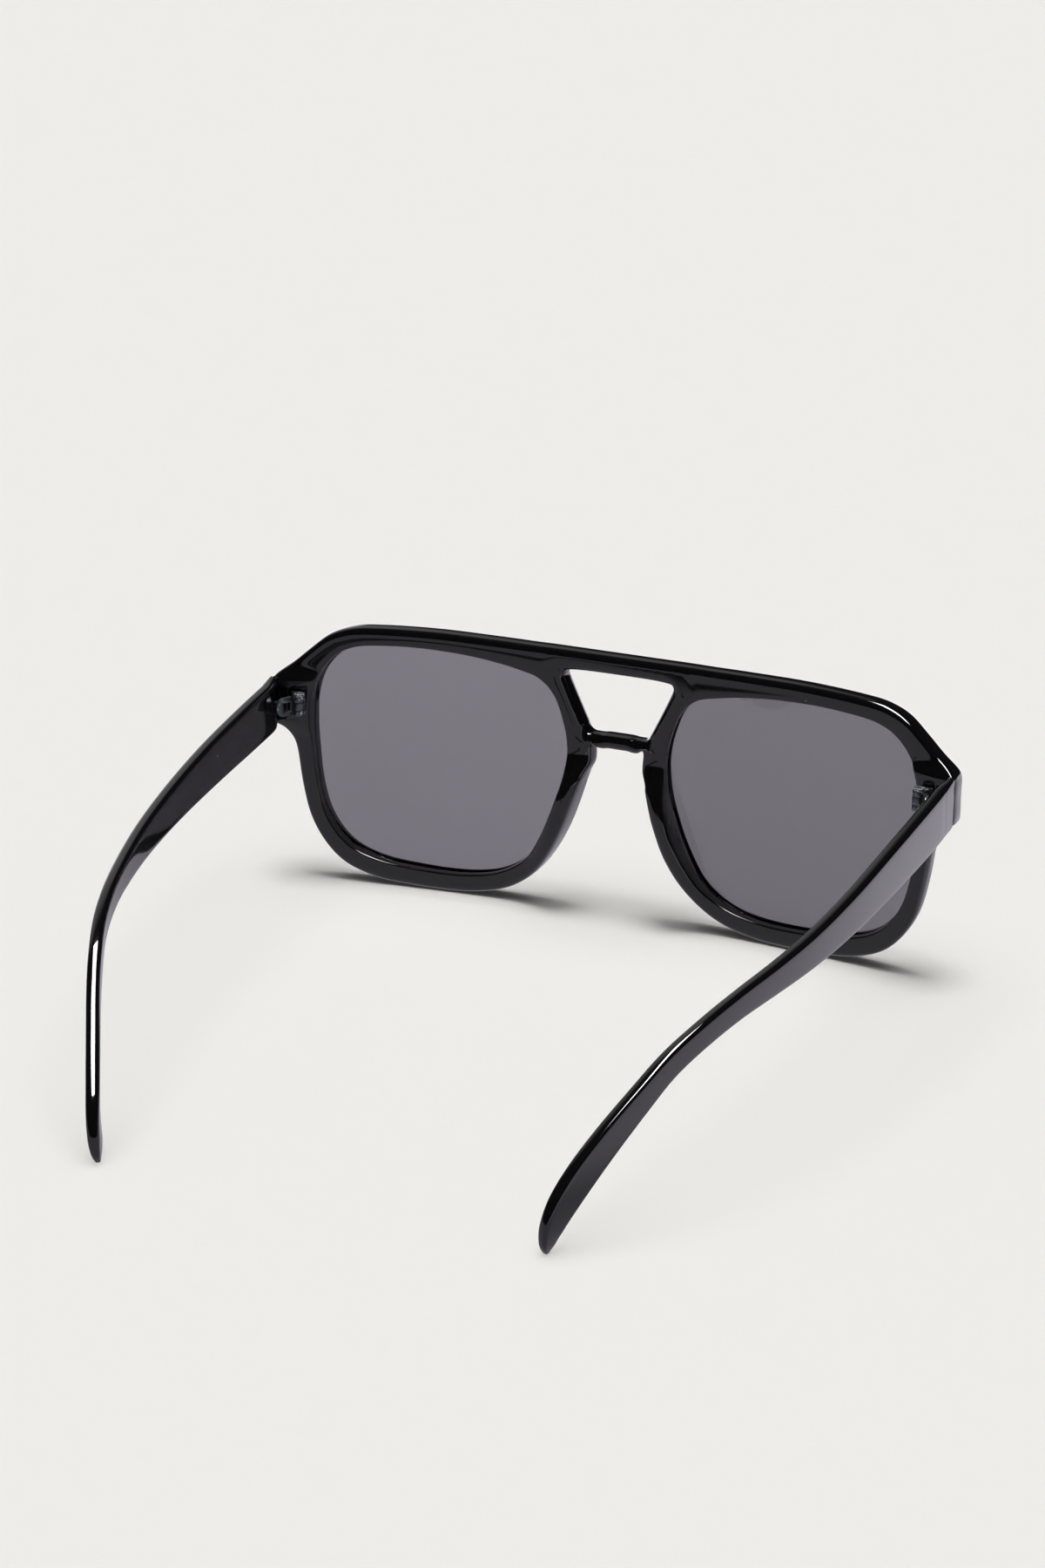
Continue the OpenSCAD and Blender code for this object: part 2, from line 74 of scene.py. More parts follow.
# Where the lower bridge's underside drops to meet the nose pads, in millimetres. The first two are
# distances from the middle over which the drop comes and goes, the last two heights over which it
# comes and goes.
BRIDGE_ENDS = (1.8, 5.6)
PADS_TO_RIMS = (6.5, 10.0)
PADS_TO_BRIDGE = (27.5, 33.5)
BRIDGE_TOP = (36.6, 38.6)
# Areas that are smoothed, in millimetres: least and most distance from the middle, least and most
# height. The first holds the ends of the lower bridge, the second all that is about it.
ENDS_AREA = (3.0, 9.5, 29.0, 39.6)
BRIDGE_AREA = (-1.0, 13.0, 24.0, 42.0)
# Places on the floor where its mirrored brightness changes: beside the right temple and far
# ahead of the front.
FLOOR_BESIDE = (-0.095, -0.065)
FLOOR_AHEAD = (-0.24, -0.18)


class FinishSettings(bpy.types.PropertyGroup):
    """Colours and polish of the glasses."""

    frame_colour: FloatVectorProperty(
        name="Frame colour",
        description="Colour of the moulded front and temples",
        subtype="COLOR",
        size=4,
        min=0.0,
        max=1.0,
        default=(0.0035, 0.0033, 0.0040, 1.0),
    )
    frame_roughness: FloatProperty(
        name="Frame roughness",
        description="How far the polish of the front and temples blurs what it reflects",
        min=0.0,
        max=1.0,
        default=0.06,
    )
    dust_colour: FloatVectorProperty(
        name="Dust colour",
        description="Colour of the specks of dust on the polish",
        subtype="COLOR",
        size=4,
        min=0.0,
        max=1.0,
        default=(0.22, 0.21, 0.20, 1.0),
    )
    lens_colour: FloatVectorProperty(
        name="Lens tint",
        description="Share of each colour that a lens lets through",
        subtype="COLOR",
        size=4,
        min=0.0,
        max=1.0,
        default=(0.220, 0.209, 0.252, 1.0),
    )
    right_lens_shade: FloatProperty(
        name="Right lens shade",
        description="Light that the right lens lets through as a share of the left one's",
        min=0.0,
        max=1.0,
        default=0.85,
    )
    lens_foot_shade: FloatProperty(
        name="Lens foot shade",
        description="Light that the foot of a lens lets through as a share of its top's",
        min=0.0,
        max=1.0,
        default=0.90,
    )
    steel_colour: FloatVectorProperty(
        name="Hinge steel",
        description="Colour of the hinge halves",
        subtype="COLOR",
        size=4,
        min=0.0,
        max=1.0,
        default=(0.085, 0.095, 0.105, 1.0),
    )
    # Colour of the painted glints: bright spots painted into the hinge steel's colour.
    painted_glint_colour: FloatVectorProperty(
        name="Painted glints",
        description="Colour of the bright spots painted on the hinges as glints",
        subtype="COLOR",
        size=4,
        min=0.0,
        max=1.0,
        default=(0.75, 0.77, 0.80, 1.0),
    )
    screw_colour: FloatVectorProperty(
        name="Screw steel",
        description="Colour of the hinge screws",
        subtype="COLOR",
        size=4,
        min=0.0,
        max=1.0,
        default=(0.20, 0.21, 0.22, 1.0),
    )


class ShapeSettings(bpy.types.PropertyGroup):
    """Fineness of the modelled edges."""

    smooth_levels: IntProperty(
        name="Smoothing levels",
        description="Subdivision levels of the front and the temples",
        min=0,
        max=3,
        default=2,
    )
    crisp_angle: FloatProperty(
        name="Crisp angle",
        description="Angle above which an edge of the mouldings stays crisp",
        subtype="ANGLE",
        default=math.radians(62),
    )
    bridge_fillet: FloatProperty(
        name="Bridge fillet",
        description="Drop of the lower bridge's underside where it meets the nose pads",
        unit="LENGTH",
        default=1.3 * MM,
    )
    bridge_smoothing: IntProperty(
        name="Bridge smoothing",
        description="Rounds of smoothing where the lower bridge meets the rims",
        min=0,
        default=20,
    )
    lens_strips: IntProperty(
        name="Lens strips",
        description="Upright strips that the curve of a lens is made of",
        min=10,
        default=56,
    )
    front_radius: FloatProperty(
        name="Front radius",
        description="Radius of the curve that the front is bent on",
        unit="LENGTH",
        default=390.0 * MM,
    )
    lean: FloatProperty(
        name="Front lean",
        description="Lean of the front towards the face at its top",
        subtype="ANGLE",
        default=math.radians(2.0),
    )
    lean_foot: FloatVectorProperty(
        name="Foot of the lean",
        description="Middle of the front's foot, about which it leans",
        unit="LENGTH",
        default=(0.0, -65.4 * MM, 0.0594 * MM),
    )
    lens_set: FloatProperty(
        name="Lens setting",
        description="Depth of a lens behind the back of the front",
        unit="LENGTH",
        default=1.95 * MM,
    )
    lens_thickness: FloatProperty(
        name="Lens thickness",
        description="Thickness of a lens",
        unit="LENGTH",
        default=1.9 * MM,
    )
    steel_bevel: FloatProperty(
        name="Steel edge",
        description="Width of the broken edges of the hinge halves",
        unit="LENGTH",
        min=0.0,
        default=0.08 * MM,
    )


class StageSettings(bpy.types.PropertyGroup):
    """Camera, light and floor."""

    azimuth: FloatProperty(
        name="Azimuth",
        description="Direction of the camera round the glasses, 0 in front",
        subtype="ANGLE",
        default=math.radians(203.9),
    )
    elevation: FloatProperty(
        name="Elevation",
        description="Height of the camera above the floor, as an angle",
        subtype="ANGLE",
        default=math.radians(25.27),
    )
    roll: FloatProperty(
        name="Roll",
        description="Turn of the camera about its line of sight",
        subtype="ANGLE",
        default=math.radians(-0.42),
    )
    distance: FloatProperty(
        name="Distance",
        description="Distance of the camera from its target",
        unit="LENGTH",
        default=768.3 * MM,
    )
    target: FloatVectorProperty(
        name="Target",
        description="Point that the camera looks at before its shift",
        unit="LENGTH",
        default=(0.0, -8.33 * MM, 1.15 * MM),
    )
    focal_length: FloatProperty(
        name="Focal length",
        description="Focal length over a frame 24 mm high",
        default=61.45,
    )
    shift: FloatVectorProperty(
        name="Shift",
        description="Shift of the frame, which puts the glasses where the photograph has them",
        size=2,
        default=(0.01466, 0.1518),
    )
    floor_size: FloatProperty(
        name="Floor size",
        description="Length of each side of the floor",
        unit="LENGTH",
        default=12.0,
    )
    floor_colour: FloatVectorProperty(
        name="Floor colour",
        description="Colour of the floor",
        subtype="COLOR",
        size=4,
        min=0.0,
        max=1.0,
        default=(0.838, 0.830, 0.799, 1.0),
    )
    mirrored_colour: FloatVectorProperty(
        name="Mirrored floor colour",
        description="Colour of the floor as the polish reflects it",
        subtype="COLOR",
        size=4,
        min=0.0,
        max=1.0,
        default=(0.920, 0.883, 1.0, 1.0),
    )
    mirrored_strength: FloatVectorProperty(
        name="Mirrored floor brightness",
        description="Brightness of the reflected floor: near, beside the right temple, far ahead",
        size=3,
        default=(0.64, 1.28, 2.0),
    )
    fill_strength: FloatProperty(
        name="Fill strength",
        description="Strength of the even light from all round",
        default=0.12,
    )
    top_strength: FloatProperty(
        name="Top strength",
        description="Strength of the light from straight above, which the front shades",
        default=1.76,
    )
    top_angle: FloatProperty(
        name="Top angle",
        description="Angle that the light from straight above spreads over",
        subtype="ANGLE",
        default=math.radians(20),
    )
    wide_strength: FloatProperty(
        name="Wide strength",
        description="Strength of the wide light from above, which the front and temples shade",
        default=1.13,
    )
    wide_angle: FloatProperty(
        name="Wide angle",
        description="Angle that the wide light from above spreads over",
        subtype="ANGLE",
        default=math.radians(55),
    )
    studio_strength: FloatProperty(
        name="Studio strength",
        description="Brightness of the dark studio that the polish reflects",
        default=0.02,
    )
    backdrop_strength: FloatProperty(
        name="Backdrop strength",
        description="Brightness of the pale backdrop that the polish reflects",
        default=0.85,
    )
    horizon_strength: FloatProperty(
        name="Horizon strength",
        description="Brightness of the foot of the backdrop that the polish reflects",
        default=2.0,
    )
    softbox_strength: FloatProperty(
        name="Softbox strength",
        description="Power of the softbox that makes the white streaks, in watts",
        default=552.0,
    )
    softbox_size: FloatVectorProperty(
        name="Softbox size",
        description="Width and length of the softbox",
        size=2,
        unit="LENGTH",
        default=(1.12, 3.92),
    )
    softbox_place: FloatVectorProperty(
        name="Softbox place",
        description="Middle of the softbox",
        unit="LENGTH",
        default=(-0.331, 0.403, 4.0),
    )
    softbox_turn: FloatProperty(
        name="Softbox turn",
        description="Turn of the softbox about the upright",
        subtype="ANGLE",
        default=math.radians(35),
    )


def view_axes(azimuth, elevation):
    """Right, up and back directions of a camera at that azimuth and elevation."""
    ca, sa = math.cos(azimuth), math.sin(azimuth)
    ce, se = math.cos(elevation), math.sin(elevation)
    return Vector((ca, sa, 0)), Vector((-sa * se, ca * se, ce)), Vector((sa * ce, -ca * ce, se))


def node_graph(material):
    """The material's emptied node tree with its output and a Principled shader."""
    material.use_nodes = True
    tree = material.node_tree
    tree.nodes.clear()
    output = tree.nodes.new("ShaderNodeOutputMaterial")
    shader = tree.nodes.new("ShaderNodeBsdfPrincipled")
    tree.links.new(shader.outputs["BSDF"], output.inputs["Surface"])
    return tree, shader


def math_node(tree, operation, a, b):
    """A Math node of two sockets or numbers."""
    node = tree.nodes.new("ShaderNodeMath")
    node.operation = operation
    for socket, value in zip(node.inputs, (a, b)):
        if isinstance(value, (int, float)):
            socket.default_value = value
        else:
            tree.links.new(value, socket)
    return node.outputs[0]


def smooth_step(tree, value, low, high, start, end):
    """A value that eases from start to end while another goes from low to high."""
    step = tree.nodes.new("ShaderNodeMapRange")
    step.interpolation_type = "SMOOTHSTEP"
    step.inputs["From Min"].default_value = low
    step.inputs["From Max"].default_value = high
    step.inputs["To Min"].default_value = start
    step.inputs["To Max"].default_value = end
    tree.links.new(value, step.inputs["Value"])
    return step.outputs["Result"]


def noise(tree, scale, detail):
    """A noise on the piece's own coordinates, in metres."""
    place = tree.nodes.new("ShaderNodeTexCoord")
    texture = tree.nodes.new("ShaderNodeTexNoise")
    texture.inputs["Scale"].default_value = scale
    texture.inputs["Detail"].default_value = detail
    tree.links.new(place.outputs["Object"], texture.inputs["Vector"])
    return texture


def ranged(tree, source, low, high):
    """A value between low and high, following a noise from 0.3 to 0.7."""
    ramp = tree.nodes.new("ShaderNodeMapRange")
    ramp.inputs["From Min"].default_value = 0.3
    ramp.inputs["From Max"].default_value = 0.7
    ramp.inputs["To Min"].default_value = low
    ramp.inputs["To Max"].default_value = high
    tree.links.new(source, ramp.inputs["Value"])
    return ramp.outputs["Result"]


def add_bump(tree, shader, height, distance, strength):
    """Lets a height shape the shader's surface."""
    bump = tree.nodes.new("ShaderNodeBump")
    bump.inputs["Strength"].default_value = strength
    bump.inputs["Distance"].default_value = distance
    tree.links.new(height, bump.inputs["Height"])
    tree.links.new(bump.outputs["Normal"], shader.inputs["Normal"])


def dust_mask(tree, scale, size, share):
    """1 on a sparse scatter of specks, 0 between them."""
    place = tree.nodes.new("ShaderNodeTexCoord")
    cells = tree.nodes.new("ShaderNodeTexVoronoi")
    cells.inputs["Scale"].default_value = scale
    tree.links.new(place.outputs["Object"], cells.inputs["Vector"])
    near = math_node(tree, "LESS_THAN", cells.outputs["Distance"], size)
    parts = tree.nodes.new("ShaderNodeSeparateColor")
    tree.links.new(cells.outputs["Color"], parts.inputs["Color"])
    chosen = math_node(tree, "LESS_THAN", parts.outputs["Red"], share)
    return math_node(tree, "MULTIPLY", near, chosen)


def mixed_colour(tree, share, first, second):
    """A colour that goes from first to second with a share."""
    mix = tree.nodes.new("ShaderNodeMix")
    mix.data_type = "RGBA"
    mix.inputs[6].default_value = first
    mix.inputs[7].default_value = second
    tree.links.new(share, mix.inputs[0])
    return mix.outputs[2]


def gloss_black(finish):
    """Polished black plastic with the faint ripple of a tumbled moulding and specks of dust."""
    material = bpy.data.materials.new("gloss_black_plastic")
    tree, shader = node_graph(material)
    shader.inputs["IOR"].default_value = PLASTIC_IOR
    dust = dust_mask(tree, scale=420.0, size=0.05, share=0.10)
    colour = mixed_colour(tree, dust, finish.frame_colour, finish.dust_colour)
    tree.links.new(colour, shader.inputs["Base Color"])
    fine = noise(tree, scale=900.0, detail=3.0)
    rough = finish.frame_roughness
    polish = ranged(tree, fine.outputs["Fac"], 0.85 * rough, 1.15 * rough)
    tree.links.new(math_node(tree, "MAXIMUM", polish, dust), shader.inputs["Roughness"])
    ripple = noise(tree, scale=90.0, detail=1.0)
    add_bump(tree, shader, ripple.outputs["Fac"], distance=0.02 * MM, strength=0.35)
    return material


def tinted_lens(finish, side):
    """Clear plastic, tinted through, a little darker towards its foot."""
    material = bpy.data.materials.new("tinted_lens_" + side)
    tree, shader = node_graph(material)
    shader.inputs["Transmission Weight"].default_value = 1.0
    shader.inputs["IOR"].default_value = PLASTIC_IOR
    shade = finish.right_lens_shade if side == "right" else 1.0
    top = [part * shade for part in finish.lens_colour[:3]] + [1.0]
    foot = [part * finish.lens_foot_shade for part in top[:3]] + [1.0]
    place = tree.nodes.new("ShaderNodeTexCoord")
    split = tree.nodes.new("ShaderNodeSeparateXYZ")
    tree.links.new(place.outputs["Object"], split.inputs["Vector"])
    height = smooth_step(tree, split.outputs["Z"], LENS_FOOT, LENS_TOP, 0.0, 1.0)
    tree.links.new(mixed_colour(tree, height, foot, top), shader.inputs["Base Color"])
    smear = noise(tree, scale=60.0, detail=3.0)
    haze = ranged(tree, smear.outputs["Fac"], low=0.0, high=0.02)
    tree.links.new(haze, shader.inputs["Roughness"])
    return material


def cast_steel(name, dull, bright, scale, share):
    """Dark steel with bright spots of painted glint where its mottle passes a share."""
    material = bpy.data.materials.new(name)
    tree, shader = node_graph(material)
    shader.inputs["Metallic"].default_value = 1.0
    mottle = noise(tree, scale, detail=4.0)
    # Painted glints: the base colour turns bright where the mottle passes the share.
    spots = smooth_step(tree, mottle.outputs["Fac"], share, share + 0.06, 0.0, 1.0)
    tree.links.new(mixed_colour(tree, spots, dull, bright), shader.inputs["Base Color"])
    grain = noise(tree, scale * 2.5, detail=3.0)
    satin = ranged(tree, grain.outputs["Fac"], low=0.24, high=0.42)
    tree.links.new(satin, shader.inputs["Roughness"])
    add_bump(tree, shader, mottle.outputs["Fac"], distance=0.05 * MM, strength=0.6)
    return material


def dress(piece, material):
    """Gives a piece one material."""
    piece.data.materials.clear()
    piece.data.materials.append(material)


def only(piece):
    """Makes a piece the only selected and active one."""
    if bpy.context.object and bpy.context.object.mode != "OBJECT":
        bpy.ops.object.mode_set(mode="OBJECT")
    bpy.ops.object.select_all(action="DESELECT")
    piece.select_set(True)
    bpy.context.view_layer.objects.active = piece


def merged_copy(node, name):
    """A copy of a CAD node's mesh with its triangles joined up."""
    source = frame["nodes"][node]
    piece = bpy.data.objects.new(name, source.data.copy())
    bpy.context.scene.collection.objects.link(piece)
    only(piece)
    bpy.ops.object.mode_set(mode="EDIT")
    bpy.ops.mesh.select_all(action="SELECT")
    bpy.ops.mesh.remove_doubles(threshold=0.0005 * MM)
    bpy.ops.mesh.mark_sharp(clear=True)
    bpy.ops.mesh.customdata_custom_splitnormals_clear()
    bpy.ops.object.mode_set(mode="OBJECT")
    return piece


def smooth_moulding(piece, shape):
    """Turns the flat faces of a moulding into the rounded skin that they stand for."""
    only(piece)
    bpy.ops.object.mode_set(mode="EDIT")
    bpy.ops.mesh.select_mode(type="EDGE")
    bpy.ops.mesh.select_all(action="SELECT")
    bpy.ops.mesh.tris_convert_to_quads(
        face_threshold=math.radians(35), shape_threshold=math.radians(120)
    )
    bpy.ops.mesh.select_all(action="DESELECT")
    bpy.ops.mesh.edges_select_sharp(sharpness=shape.crisp_angle)
    bpy.ops.transform.edge_crease(value=CREASE)
    bpy.ops.object.mode_set(mode="OBJECT")
    skin = piece.modifiers.new("skin", "SUBSURF")
    skin.levels = skin.render_levels = shape.smooth_levels
    bpy.ops.object.modifier_apply(modifier=skin.name)
    bpy.ops.object.shade_smooth()


def ease(value, low, high):
    """0 below low, 1 above high and a smooth change between them."""
    share = min(max((value - low) / (high - low), 0.0), 1.0)
    return share * share * (3.0 - 2.0 * share)


def select_area(piece, area):
    """Selects the vertices of a piece in an area, in edit mode."""
    near, far, foot, top = area
    only(piece)
    bpy.ops.object.mode_set(mode="EDIT")
    bpy.ops.mesh.select_mode(type="VERT")
    bpy.ops.mesh.select_all(action="DESELECT")
    bpy.ops.object.mode_set(mode="OBJECT")
    for vertex in piece.data.vertices:
        place = vertex.co / MM
        vertex.select = near < abs(place.x) < far and foot < place.z < top
    bpy.ops.object.mode_set(mode="EDIT")


def round_bridge(piece, shape):
    """Lets the lower bridge run into the rims and nose pads in round curves."""
    for vertex in piece.data.vertices:
        x, z = abs(vertex.co.x) / MM, vertex.co.z / MM
        ends = ease(x, *BRIDGE_ENDS) * (1.0 - ease(x, *PADS_TO_RIMS))
        under = ease(z, *PADS_TO_BRIDGE) * (1.0 - ease(z, *BRIDGE_TOP))
        vertex.co.z -= ends * under * shape.bridge_fillet
    select_area(piece, ENDS_AREA)
    bpy.ops.mesh.vertices_smooth(factor=0.5, repeat=shape.bridge_smoothing)
    select_area(piece, BRIDGE_AREA)
    bpy.ops.mesh.vertices_smooth(factor=0.5, repeat=3)
    bpy.ops.object.mode_set(mode="OBJECT")


def finish_piece(piece, node, body, material):
    """Rides a piece on its body in place of its CAD node."""
    dress(piece, material)
    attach(piece, body)
    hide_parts(node)


class SUNGLASSES_OT_front(bpy.types.Operator):
    """Make the moulded front"""

    bl_idname = "sunglasses.front"
    bl_label = "Moulded front"

    def execute(self, context):
        piece = merged_copy("front_frame", "moulded_front")
        smooth_moulding(piece, context.scene.sunglasses_shape)
        round_bridge(piece, context.scene.sunglasses_shape)
        material = gloss_black(context.scene.sunglasses_finish)
        finish_piece(piece, "front_frame", "front", material)
        return {"FINISHED"}


class SUNGLASSES_OT_temples(bpy.types.Operator):
    """Make the two temples"""

    bl_idname = "sunglasses.temples"
    bl_label = "Temples"

    def execute(self, context):
        material = bpy.data.materials.get("gloss_black_plastic")
        for side in SIDES:
            node = "temple_" + side
            piece = merged_copy(node, "moulded_temple_" + side)
            smooth_moulding(piece, context.scene.sunglasses_shape)
            finish_piece(piece, node, side + "_temple", material)
        return {"FINISHED"}


def lay_on_curve(piece, shape):
    """Lays the two faces of a lens on the round curves that its flat facets stand for."""
    lean = Matrix.Rotation(shape.lean, 3, "X")
    foot = Vector((0.0, shape.lean_foot[1], shape.lean_foot[2]))
    centre = shape.front_radius - shape.lens_set
    middle = shape.front_radius + shape.lens_thickness / 2
    for vertex in piece.data.vertices:
        place = lean.inverted() @ (vertex.co - foot)
        outside = math.hypot(place.x, centre - place.y) > middle
        radius = shape.front_radius + (shape.lens_thickness if outside else 0.0)
        place.y = centre - math.sqrt(radius * radius - place.x * place.x)
        vertex.co = lean @ place + foot


def cut_strips(piece, strips):
    """Cuts a piece into upright strips of even width."""
    xs = [vertex.co.x for vertex in piece.data.vertices]
    low, high = min(xs), max(xs)
    only(piece)
    bpy.ops.object.mode_set(mode="EDIT")
    for i in range(1, strips):
        bpy.ops.mesh.select_all(action="SELECT")
        x = low + (high - low) * i / strips
        bpy.ops.mesh.bisect(plane_co=(x, 0.0, 0.0), plane_no=(1.0, 0.0, 0.0))
    bpy.ops.object.mode_set(mode="OBJECT")


class SUNGLASSES_OT_lenses(bpy.types.Operator):
    """Curve and tint the two lenses"""

    bl_idname = "sunglasses.lenses"
    bl_label = "Lenses"

    def execute(self, context):
        shape = context.scene.sunglasses_shape
        for side in SIDES:
            node = "lens_" + side
            material = tinted_lens(context.scene.sunglasses_finish, side)
            piece = merged_copy(node, "tinted_lens_" + side)
            cut_strips(piece, shape.lens_strips)
            lay_on_curve(piece, shape)
            only(piece)
            bpy.ops.object.shade_smooth_by_angle(angle=math.radians(30))
            finish_piece(piece, node, "front", material)
        return {"FINISHED"}


def broken_edges(piece, width):
    """Breaks the crisp edges of a metal piece."""
    only(piece)
    bpy.ops.object.mode_set(mode="EDIT")
    bpy.ops.mesh.select_all(action="SELECT")
    bpy.ops.mesh.dissolve_limited(angle_limit=math.radians(1))
    bpy.ops.object.mode_set(mode="OBJECT")
    edge = piece.modifiers.new("edge", "BEVEL")
    edge.width = width
    edge.segments = 2
    edge.limit_method = "ANGLE"
    edge.angle_limit = math.radians(40)
    bpy.ops.object.modifier_apply(modifier=edge.name)
    bpy.ops.object.shade_smooth_by_angle(angle=math.radians(35))


class SUNGLASSES_OT_hinges(bpy.types.Operator):
    """Break the edges of the hinge halves and screws and give them their steel"""

    bl_idname = "sunglasses.hinges"
    bl_label = "Hinges"

    def execute(self, context):
        finish = context.scene.sunglasses_finish
        shape = context.scene.sunglasses_shape
        # The bright spots on the hinge steel are painted glints.
        dull, bright = finish.steel_colour, finish.painted_glint_colour
        steel = cast_steel("hinge_steel", dull, bright, scale=2600.0, share=0.60)
        leaf = cast_steel("leaf_steel", dull, bright, scale=2200.0, share=0.68)
        screw = cast_steel("screw_steel", finish.screw_colour, bright, scale=3600.0, share=0.54)
        for side in SIDES:
            for node, body, slot, material in (
                ("front_hinge_" + side, "front", "hinge_metal", steel),
                ("temple_hinge_" + side, side + "_temple", "hinge_metal", leaf),
                ("hinge_screw_" + side, "front", "screw_metal", screw),
            ):
                piece = merged_copy(node, "steel_" + node)
                broken_edges(piece, shape.steel_bevel)
                finish_piece(piece, node, body, material)
        return {"FINISHED"}


def floor_material(stage):
    """Pale matt floor, whose brightness as polished faces see it differs by place."""
    material = bpy.data.materials.new("pale_floor")
    tree, shader = node_graph(material)
    shader.inputs["Base Color"].default_value = stage.floor_colour
    shader.inputs["Roughness"].default_value = 1.0
    shader.inputs["Specular IOR Level"].default_value = 0.0
    glow = tree.nodes.new("ShaderNodeEmission")
    glow.inputs["Color"].default_value = stage.mirrored_colour
    near, outside, ahead = stage.mirrored_strength
    rays = tree.nodes.new("ShaderNodeLightPath")
    place = tree.nodes.new("ShaderNodeTexCoord")
    split = tree.nodes.new("ShaderNodeSeparateXYZ")
    tree.links.new(place.outputs["Object"], split.inputs["Vector"])
    beside = smooth_step(tree, split.outputs["X"], *FLOOR_BESIDE, outside, near)
    before = smooth_step(tree, split.outputs["Y"], *FLOOR_AHEAD, ahead, near)
    tree.links.new(math_node(tree, "MAXIMUM", beside, before), glow.inputs["Strength"])
    mirrored = math_node(
        tree, "SUBTRACT", rays.outputs["Is Glossy Ray"], rays.outputs["Is Transmission Ray"]
    )
    mix = tree.nodes.new("ShaderNodeMixShader")
    tree.links.new(mirrored, mix.inputs["Fac"])
    tree.links.new(shader.outputs["BSDF"], mix.inputs[1])
    tree.links.new(glow.outputs["Emission"], mix.inputs[2])
    tree.links.new(mix.outputs["Shader"], tree.nodes["Material Output"].inputs["Surface"])
    return material


def direction(azimuth, elevation):
    """Unit vector to an azimuth, counted from +Y towards +X, and an elevation, in degrees."""
    turn, rise = math.radians(azimuth), math.radians(elevation)
    level = math.cos(rise)
    return Vector((math.sin(turn) * level, math.cos(turn) * level, math.sin(rise)))


def glow_towards(tree, azimuth, elevation, outer, inner, low, high):
    """A value that eases from low to high between two angles off a direction, in degrees."""
    place = tree.nodes.new("ShaderNodeTexCoord")
    towards = tree.nodes.new("ShaderNodeVectorMath")
    towards.operation = "DOT_PRODUCT"
    tree.links.new(place.outputs["Generated"], towards.inputs[0])
    towards.inputs[1].default_value = direction(azimuth, elevation)
    edges = [math.cos(math.radians(angle)) for angle in (outer, inner)]
    return smooth_step(tree, towards.outputs["Value"], edges[0], edges[1], low, high)


def set_world(stage):
    """Even fill light; polished faces see a dark studio with a pale backdrop on one side."""
    world = bpy.data.worlds.new("studio")
    bpy.context.scene.world = world
    world.use_nodes = True
    tree = world.node_tree
    tree.nodes.clear()
    output = tree.nodes.new("ShaderNodeOutputWorld")
    rays = tree.nodes.new("ShaderNodeLightPath")
    seen = tree.nodes.new("ShaderNodeBackground")
    seen.inputs["Color"].default_value = stage.floor_colour
    light = tree.nodes.new("ShaderNodeBackground")
    dark = stage.studio_strength
    upper = glow_towards(
        tree, azimuth=130.0, elevation=32.0, outer=32.0, inner=13.0,
        low=dark, high=stage.backdrop_strength,
    )
    horizon = glow_towards(
        tree, azimuth=140.0, elevation=0.0, outer=18.0, inner=10.0,
        low=dark, high=stage.horizon_strength,
    )
    backdrop = math_node(tree, "MAXIMUM", upper, horizon)
    glossy = rays.outputs["Is Glossy Ray"]
    mirrored = math_node(tree, "MULTIPLY", glossy, backdrop)
    not_glossy = math_node(tree, "SUBTRACT", 1.0, glossy)
    matt = math_node(tree, "MULTIPLY", not_glossy, stage.fill_strength)
    tree.links.new(math_node(tree, "ADD", mirrored, matt), light.inputs["Strength"])
    mix = tree.nodes.new("ShaderNodeMixShader")
    clear = math_node(
        tree, "MAXIMUM", rays.outputs["Is Camera Ray"], rays.outputs["Is Transmission Ray"]
    )
    tree.links.new(clear, mix.inputs["Fac"])
    tree.links.new(light.outputs["Background"], mix.inputs[1])
    tree.links.new(seen.outputs["Background"], mix.inputs[2])
    tree.links.new(mix.outputs["Shader"], output.inputs["Surface"])


def add_floor(stage):
    """The pale floor that the glasses stand on."""
    bpy.ops.object.select_all(action="DESELECT")
    bpy.ops.mesh.primitive_plane_add(size=stage.floor_size, location=(0.0, 0.0, 0.0))
    floor = bpy.context.object
    floor.name = "floor"
    dress(floor, floor_material(stage))


def add_camera(stage):
    """The camera, at the photograph's viewing angle."""
    right, up, back = view_axes(stage.azimuth, stage.elevation)
    turned_right = right * math.cos(stage.roll) + up * math.sin(stage.roll)
    turned_up = back.cross(turned_right)
    camera_data = bpy.data.cameras.new("camera")
    camera_data.sensor_fit = "VERTICAL"
    camera_data.sensor_height = 24.0
    camera_data.lens = stage.focal_length
    camera_data.shift_x, camera_data.shift_y = stage.shift
    camera_data.clip_start = 0.01
    camera = bpy.data.objects.new("camera", camera_data)
    place = Vector(stage.target) + back * stage.distance
    camera.matrix_world = Matrix.Translation(place) @ Matrix(
        (turned_right, turned_up, back)
    ).transposed().to_4x4()
    bpy.context.scene.collection.objects.link(camera)
    bpy.context.scene.camera = camera


def add_sun(name, strength, angle, words):
    """A light from straight above, which the pieces whose names hold one of the words shade."""
    sun_data = bpy.data.lights.new(name, "SUN")
    sun_data.energy = strength
    sun_data.angle = angle
    sun = bpy.data.objects.new(name, sun_data)
    sun.visible_glossy = False
    bpy.context.scene.collection.objects.link(sun)
    casters = bpy.data.collections.new(name + "_shadow_casters")
    for piece in bpy.data.objects:
        if piece.type == "MESH" and any(word in piece.name for word in words):
            casters.objects.link(piece)
    sun.light_linking.blocker_collection = casters


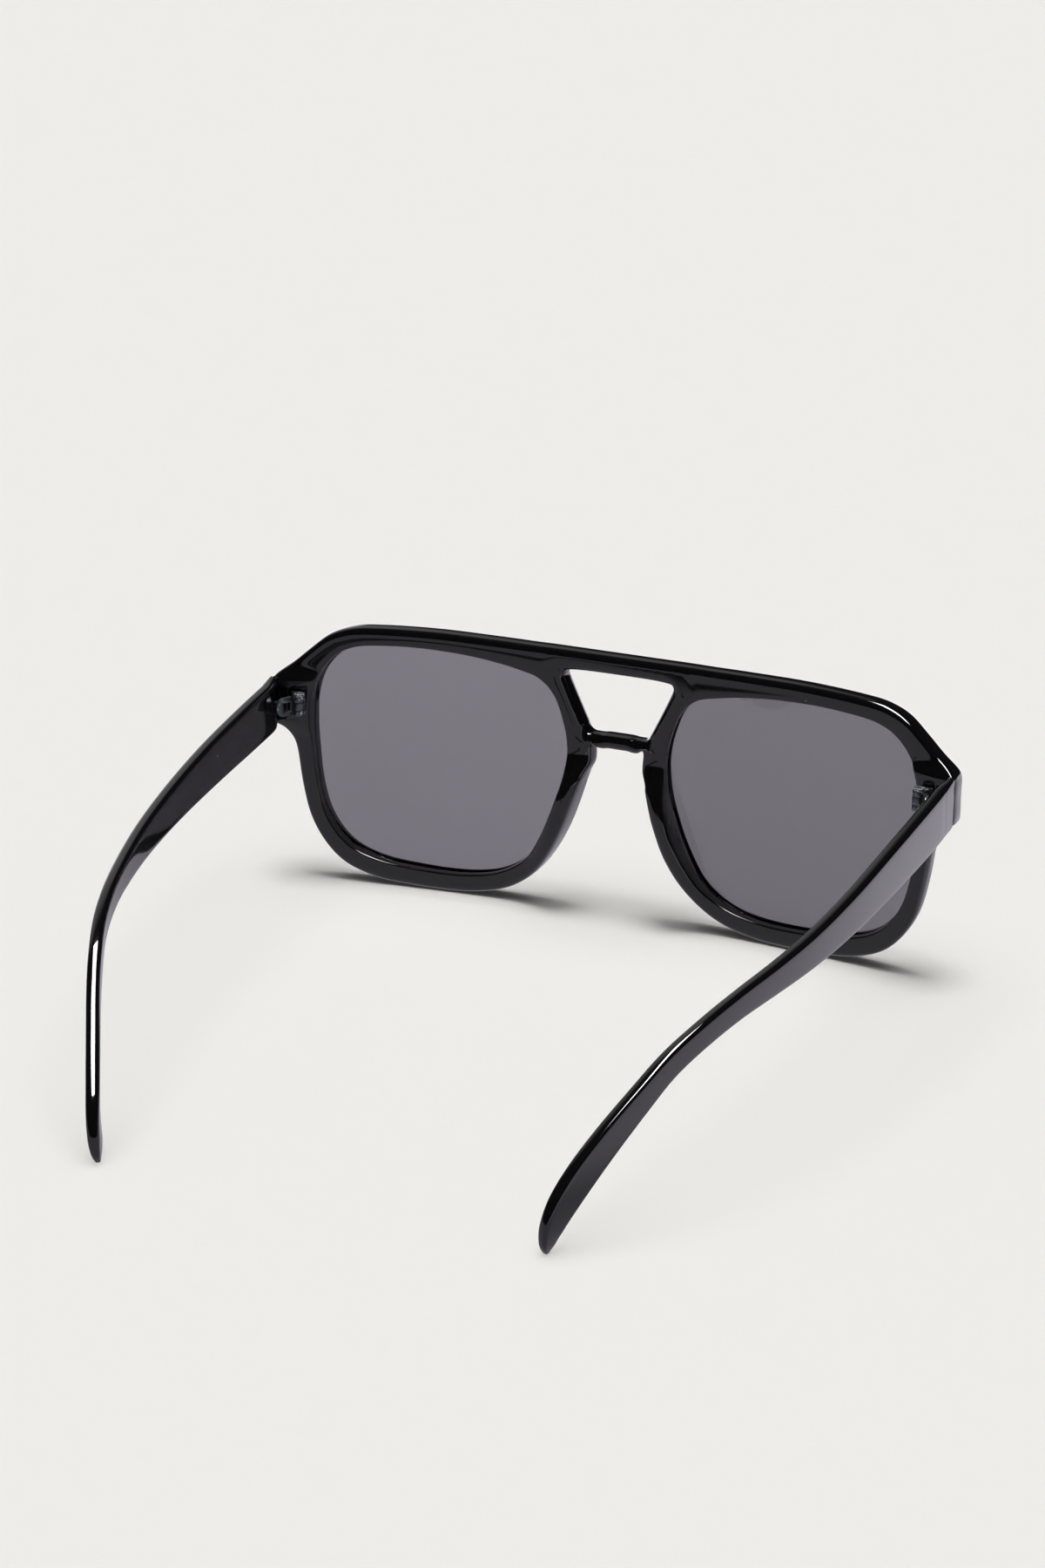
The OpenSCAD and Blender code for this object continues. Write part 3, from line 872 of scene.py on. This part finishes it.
def add_softbox(stage):
    """The softbox whose reflection makes the white streaks."""
    box_data = bpy.data.lights.new("softbox", "AREA")
    box_data.shape = "RECTANGLE"
    box_data.size, box_data.size_y = stage.softbox_size
    box_data.energy = stage.softbox_strength
    box = bpy.data.objects.new("softbox", box_data)
    box.location = stage.softbox_place
    box.rotation_euler = (0.0, 0.0, stage.softbox_turn)
    box.visible_diffuse = False
    bpy.context.scene.collection.objects.link(box)


class SUNGLASSES_OT_stage(bpy.types.Operator):
    """Make the floor, the lights and the camera"""

    bl_idname = "sunglasses.stage"
    bl_label = "Stage"

    def execute(self, context):
        stage = context.scene.sunglasses_stage
        add_floor(stage)
        set_world(stage)
        add_camera(stage)
        add_sun("top", stage.top_strength, stage.top_angle, ("front",))
        add_sun("wide", stage.wide_strength, stage.wide_angle, ("front", "temple"))
        add_softbox(stage)
        context.scene.view_settings.view_transform = "Standard"
        return {"FINISHED"}


class SUNGLASSES_PT_panel(bpy.types.Panel):
    """Lists the pieces of the sunglasses"""

    bl_label = "Sunglasses"
    bl_idname = "SUNGLASSES_PT_panel"
    bl_space_type = "VIEW_3D"
    bl_region_type = "UI"
    bl_category = "Sunglasses"

    def draw(self, context):
        layout = self.layout
        for settings in SETTINGS:
            group = getattr(context.scene, settings)
            for name in group.bl_rna.properties.keys():
                if name not in ("rna_type", "name"):
                    layout.prop(group, name)
        for operator in OPERATORS:
            layout.operator(operator.bl_idname)


OPERATORS = (
    SUNGLASSES_OT_front,
    SUNGLASSES_OT_temples,
    SUNGLASSES_OT_lenses,
    SUNGLASSES_OT_hinges,
    SUNGLASSES_OT_stage,
)
SETTINGS = {
    "sunglasses_finish": FinishSettings,
    "sunglasses_shape": ShapeSettings,
    "sunglasses_stage": StageSettings,
}
CLASSES = tuple(SETTINGS.values()) + OPERATORS + (SUNGLASSES_PT_panel,)


def register():
    for item in CLASSES:
        bpy.utils.register_class(item)
    for name, group in SETTINGS.items():
        setattr(bpy.types.Scene, name, PointerProperty(type=group))


def unregister():
    for name in SETTINGS:
        delattr(bpy.types.Scene, name)
    for item in reversed(CLASSES):
        bpy.utils.unregister_class(item)


def main():
    register()
    bpy.ops.sunglasses.front()
    bpy.ops.sunglasses.temples()
    bpy.ops.sunglasses.lenses()
    bpy.ops.sunglasses.hinges()
    bpy.ops.sunglasses.stage()


if __name__ == "__main__":
    main()
